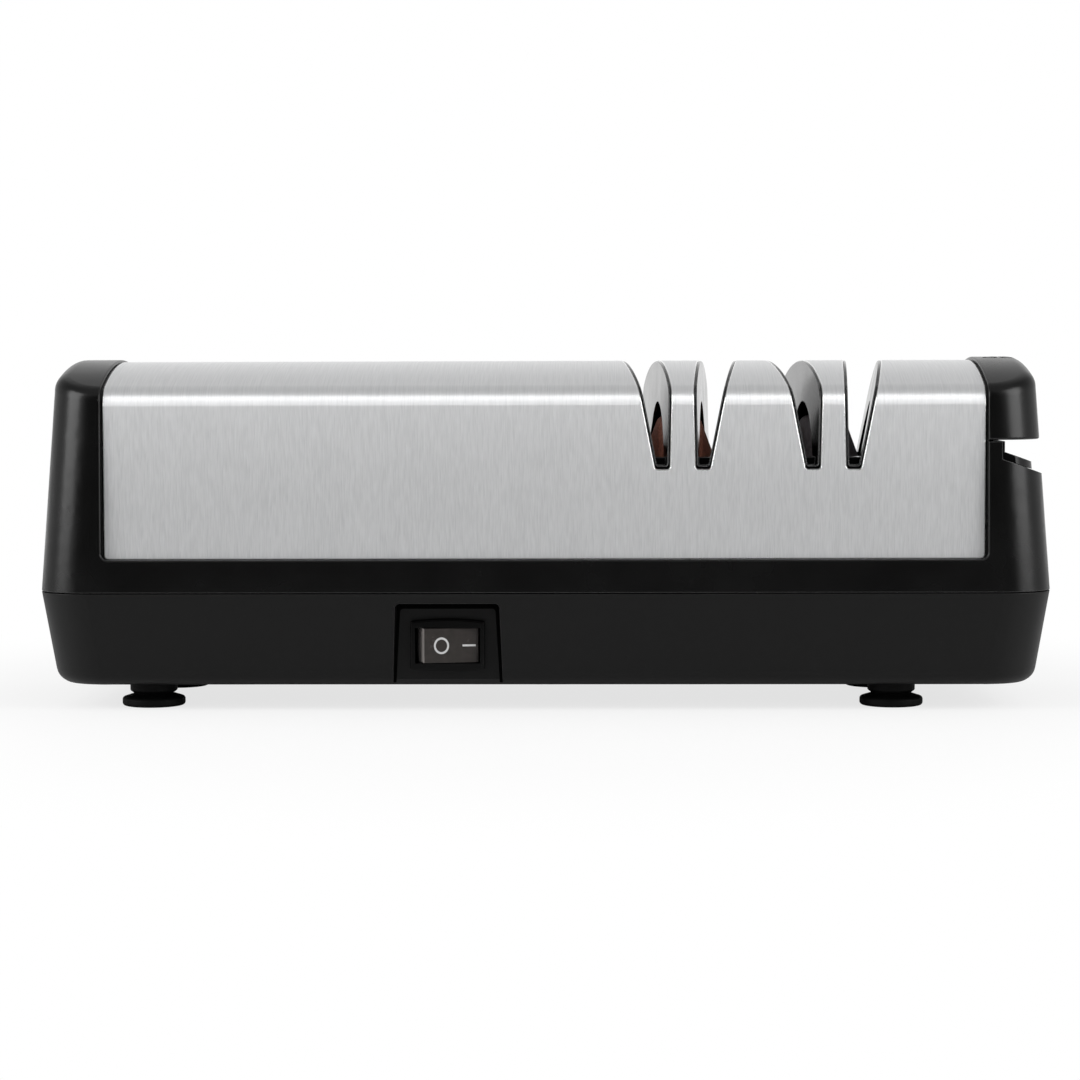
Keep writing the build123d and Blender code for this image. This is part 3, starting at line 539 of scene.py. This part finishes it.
def ring_shape(shape):
    """Flat ring with a raised face."""
    place = rocker_frame() @ Matrix.Translation((ring_x, 0, 0))
    loops = []
    for radius, height in (
        (ring_radius, -mark_sunk), (ring_radius, mark_proud),
        (ring_radius - ring_line, mark_proud), (ring_radius - ring_line, -mark_sunk),
    ):
        loop = []
        for step in range(ring_steps):
            angle = 2 * math.pi * step / ring_steps
            point = Vector((radius * math.cos(angle), ring_height * radius * math.sin(angle), height))
            loop.append(shape.verts.new(place @ point))
        loops.append(loop)
    for lower, upper in zip(loops, loops[1:] + loops[:1]):
        for step in range(ring_steps):
            after = (step + 1) % ring_steps
            shape.faces.new((lower[step], lower[after], upper[after], upper[step]))


def bar_shape(shape):
    """Short flat bar with a raised face."""
    size = (*bar_size, mark_proud + mark_sunk)
    middle = Matrix.Translation((bar_x, 0, (mark_proud - mark_sunk) / 2))
    place = rocker_frame() @ middle @ Matrix.Diagonal((*size, 1))
    bmesh.ops.create_cube(shape, size=1, matrix=place)


def switch_marks(finishes):
    """Ring for off and bar for on."""
    mesh_piece("rocker_ring_mark", ring_shape, finishes["white_mark"], "rocker")
    mesh_piece("rocker_bar_mark", bar_shape, finishes["white_mark"], "rocker")


# Strip of painted shade round the switch panel
def panel_top_z():
    """Height of the panel's top: below the parting face of the base, which its tongue stands above."""
    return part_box("upper_housing")[0][2] - panel_top_gap


def panel_face(x):
    """Front of the flat panel beside the switch, found by looking at the base from the front."""
    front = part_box("switch_body")[0][1]
    start = Vector((x, front - look_from, panel_top_z() - panel_corner))
    place = frame["nodes"]["base_tray"].ray_cast(start, Vector((0, 1, 0)))[1]
    return place.y


def panel_corner_points(inset, top):
    """Left of the panel's outline, from the foot round the corner; X from the switch, Z from the top."""
    lean = math.radians(panel_splay)
    radius = panel_corner
    side = panel_width / 2 - inset
    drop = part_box("base_tray")[0][2] + shade_strip_foot - panel_top_z()
    points = [(-side + drop * math.tan(lean), drop)]
    for step in range(corner_steps + 1):
        angle = math.pi - step * math.pi / 2 / corner_steps
        points.append((-side + radius + radius * math.cos(angle), top - radius + radius * math.sin(angle)))
    return points


def shade_strip_shape(shape):
    """Flat dark strip on the panel's border, up one side, along the top and down the other: painted shade
    where the recess wall lies in shadow.
    """
    low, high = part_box("switch_body")
    middle = (low[0] + high[0]) / 2
    face = panel_face(middle)
    rings = []
    for share, proud in ((0, 0), (0, shade_strip_proud), (1, shade_strip_proud), (1, 0)):
        left = panel_corner_points(share * shade_strip_width, -share * shade_strip_top)
        right = [(-x, z) for x, z in reversed(left)]
        ring = [Vector((middle + x, face - proud, panel_top_z() + z)) for x, z in left + right]
        rings.append([shape.verts.new(point) for point in ring])
    for first, second in zip(rings, rings[1:] + rings[:1]):
        for index in range(len(first) - 1):
            shape.faces.new((first[index], first[index + 1], second[index + 1], second[index]))
    for end in (0, -1):
        shape.faces.new([ring[end] for ring in rings])


# Pictogram on the hood
def on_hood(x, y):
    """Point on top of the hood, a little proud of it."""
    centre_x, centre_y = pictogram_place
    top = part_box("scissors_hood")[1][2]
    start = Vector((centre_x + x, centre_y + y, top + look_from))
    place = frame["nodes"]["scissors_hood"].ray_cast(start, Vector((0, 0, -1)))[1]
    return place + Vector((0, 0, pictogram_proud))


def ribbon(shape, points, closed):
    """Flat strip of the pictogram's line width that lies on the hood along a path of plan points."""
    rows = []
    count = len(points)
    for index, point in enumerate(points):
        before = points[index - 1] if closed or index else point
        after = points[(index + 1) % count] if closed or index + 1 < count else point
        along = (after - before).normalized()
        side = Vector((-along.y, along.x)) * pictogram_line / 2
        rows.append([shape.verts.new(on_hood(*(point + sign * side))) for sign in (-1, 1)])
    pairs = zip(rows, rows[1:] + rows[:1]) if closed else zip(rows, rows[1:])
    for first, second in pairs:
        shape.faces.new((first[0], second[0], second[1], first[1]))


def pictogram_shape(shape):
    """Two finger rings and two crossed blades."""
    for side in (-1, 1):
        turns = [2 * math.pi * step / handle_steps for step in range(handle_steps)]
        ring = [
            Vector((side * handle_x + handle_radius * math.cos(turn), handle_radius * math.sin(turn)))
            for turn in turns
        ]
        ribbon(shape, ring, closed=True)
        start = Vector((side * handle_x, handle_radius))
        tip = Vector((-side * blade_tip[0], blade_tip[1]))
        blade = [start.lerp(tip, step / blade_steps) for step in range(blade_steps + 1)]
        ribbon(shape, blade, closed=False)


def trim(finishes):
    """Strip of painted shade round the switch panel, and the pictogram, which ride on the body."""
    mesh_piece("switch_panel_shade_strip", shade_strip_shape, finishes["shade_strip_black"], "body")
    mesh_piece("scissors_pictogram", pictogram_shape, finishes["mark_black"], "body")


# Studio
def ray_kinds(tree):
    """Masks of camera rays and of mirror or glass rays."""
    kinds = tree.nodes.new("ShaderNodeLightPath").outputs
    mirrored = math_node(tree, "MAXIMUM", kinds["Is Glossy Ray"], kinds["Is Transmission Ray"])
    return kinds["Is Camera Ray"], mirrored


def make_world():
    """White for the camera, with a dark front and grey corners for reflections; else a plain fill."""
    world = bpy.data.worlds.new("studio")
    bpy.context.scene.world = world
    world.use_nodes = True
    tree = world.node_tree
    tree.nodes.clear()
    seen, mirrored = ray_kinds(tree)
    toward = coordinates(tree, "Generated")
    rearward = component(tree, toward, "Y")
    sideways = math_node(tree, "ABSOLUTE", component(tree, toward, "X"))
    sky = fade(tree, component(tree, toward, "Z"), sky_fade, (1.0, sky_overhead))
    front = fade(tree, product(tree, rearward, -1.0), front_zone, (1.0, front_level))
    in_corner = product(tree, fade(tree, sideways, corner_zone), fade(tree, rearward, corner_depth))
    corner = rest_of(tree, product(tree, in_corner, 1 - corner_level))
    reflected = product(tree, mirrored, sky, front, corner)
    fill = product(tree, rest_of(tree, seen), fill_strength)
    plain = product(tree, rest_of(tree, mirrored), math_node(tree, "ADD", fill, seen))
    light = tree.nodes.new("ShaderNodeBackground")
    set_inputs(tree, light, {"Color": (1, 1, 1, 1), "Strength": math_node(tree, "ADD", reflected, plain)})
    out = tree.nodes.new("ShaderNodeOutputWorld")
    feed(tree, out.inputs["Surface"], light.outputs["Background"])


def floor_material():
    """Pale floor that keeps shadows near the object and fades to the white backdrop."""
    made, tree, shader = new_material("floor")
    spot = coordinates(tree, "Object")
    reach = vector_node(tree, "LENGTH", "Value", spot)
    toward = vector_node(tree, "NORMALIZE", "Vector", spot)
    ahead = fade(tree, product(tree, component(tree, toward, "Y"), -1.0), front_zone)
    far_colour = mixed(tree, "RGBA", ahead, floor_far_colour, floor_card_colour)
    set_inputs(tree, shader, {
        "Base Color": mixed(tree, "RGBA", fade(tree, reach, floor_far_fade), floor_colour, far_colour),
        "Roughness": floor_rough,
        "Specular IOR Level": floor_specular,
    })
    seen, mirrored = ray_kinds(tree)
    for_camera = product(tree, seen, fade(tree, reach, floor_seen_fade, (floor_seen_least, 1.0)))
    for_mirrors = product(tree, mirrored, fade(tree, reach, floor_gloss_fade), rest_of(tree, ahead))
    white = tree.nodes.new("ShaderNodeEmission")
    set_inputs(tree, white, {"Color": (1, 1, 1, 1), "Strength": 1.0})
    mix = tree.nodes.new("ShaderNodeMixShader")
    parts = (math_node(tree, "MAXIMUM", for_camera, for_mirrors), shader.outputs[0], white.outputs[0])
    for socket, part in zip(mix.inputs, parts):
        feed(tree, socket, part)
    feed(tree, tree.nodes["Material Output"].inputs["Surface"], mix.outputs[0])
    return made


def make_floor():
    """Round floor under the feet."""
    mesh = bpy.data.meshes.new("floor")
    shape = bmesh.new()
    bmesh.ops.create_circle(shape, cap_ends=True, segments=floor_steps, radius=floor_radius)
    shape.to_mesh(mesh)
    shape.free()
    mesh.materials.append(floor_material())
    floor = bpy.data.objects.new("floor", mesh)
    floor.location.z = cad_box[0][2]
    bpy.context.collection.objects.link(floor)


def area_light(name, place, size, power):
    """Flat lamp that faces the object."""
    light = bpy.data.lights.new(name, "AREA")
    light.shape = "RECTANGLE"
    light.size, light.size_y = size
    light.energy = power
    lamp = bpy.data.objects.new(name, light)
    lamp.location = place
    lamp.rotation_euler = (Vector(light_aim) - Vector(place)).to_track_quat("-Z", "Y").to_euler()
    bpy.context.collection.objects.link(lamp)


def make_lights():
    """One wide lamp above the front, and one at each side of it."""
    area_light("front_light", **front_light)
    for name, turn in side_light_turn.items():
        angle = math.radians(turn)
        place = (side_light_reach * math.sin(angle), -side_light_reach * math.cos(angle), side_light_height)
        area_light(name, place, side_light_size, side_light_power)


def make_camera():
    """Camera that looks at its aim, with a slight roll."""
    data = bpy.data.cameras.new("camera")
    data.sensor_width = sensor_width
    data.lens = camera_lens
    camera = bpy.data.objects.new("camera", data)
    look = (camera_aim - camera_place).to_track_quat("-Z", "Y").to_matrix().to_4x4()
    roll = Matrix.Rotation(math.radians(camera_roll), 4, "Z")
    camera.matrix_world = Matrix.Translation(camera_place) @ look @ roll
    bpy.context.collection.objects.link(camera)
    bpy.context.scene.camera = camera


def main():
    """Dress the part and set the studio up."""
    bpy.context.scene.view_settings.view_transform = "Standard"
    finishes = make_materials()
    dress_nodes(finishes)
    springs(finishes)
    switch_marks(finishes)
    trim(finishes)
    make_world()
    make_floor()
    make_lights()
    make_camera()


main()
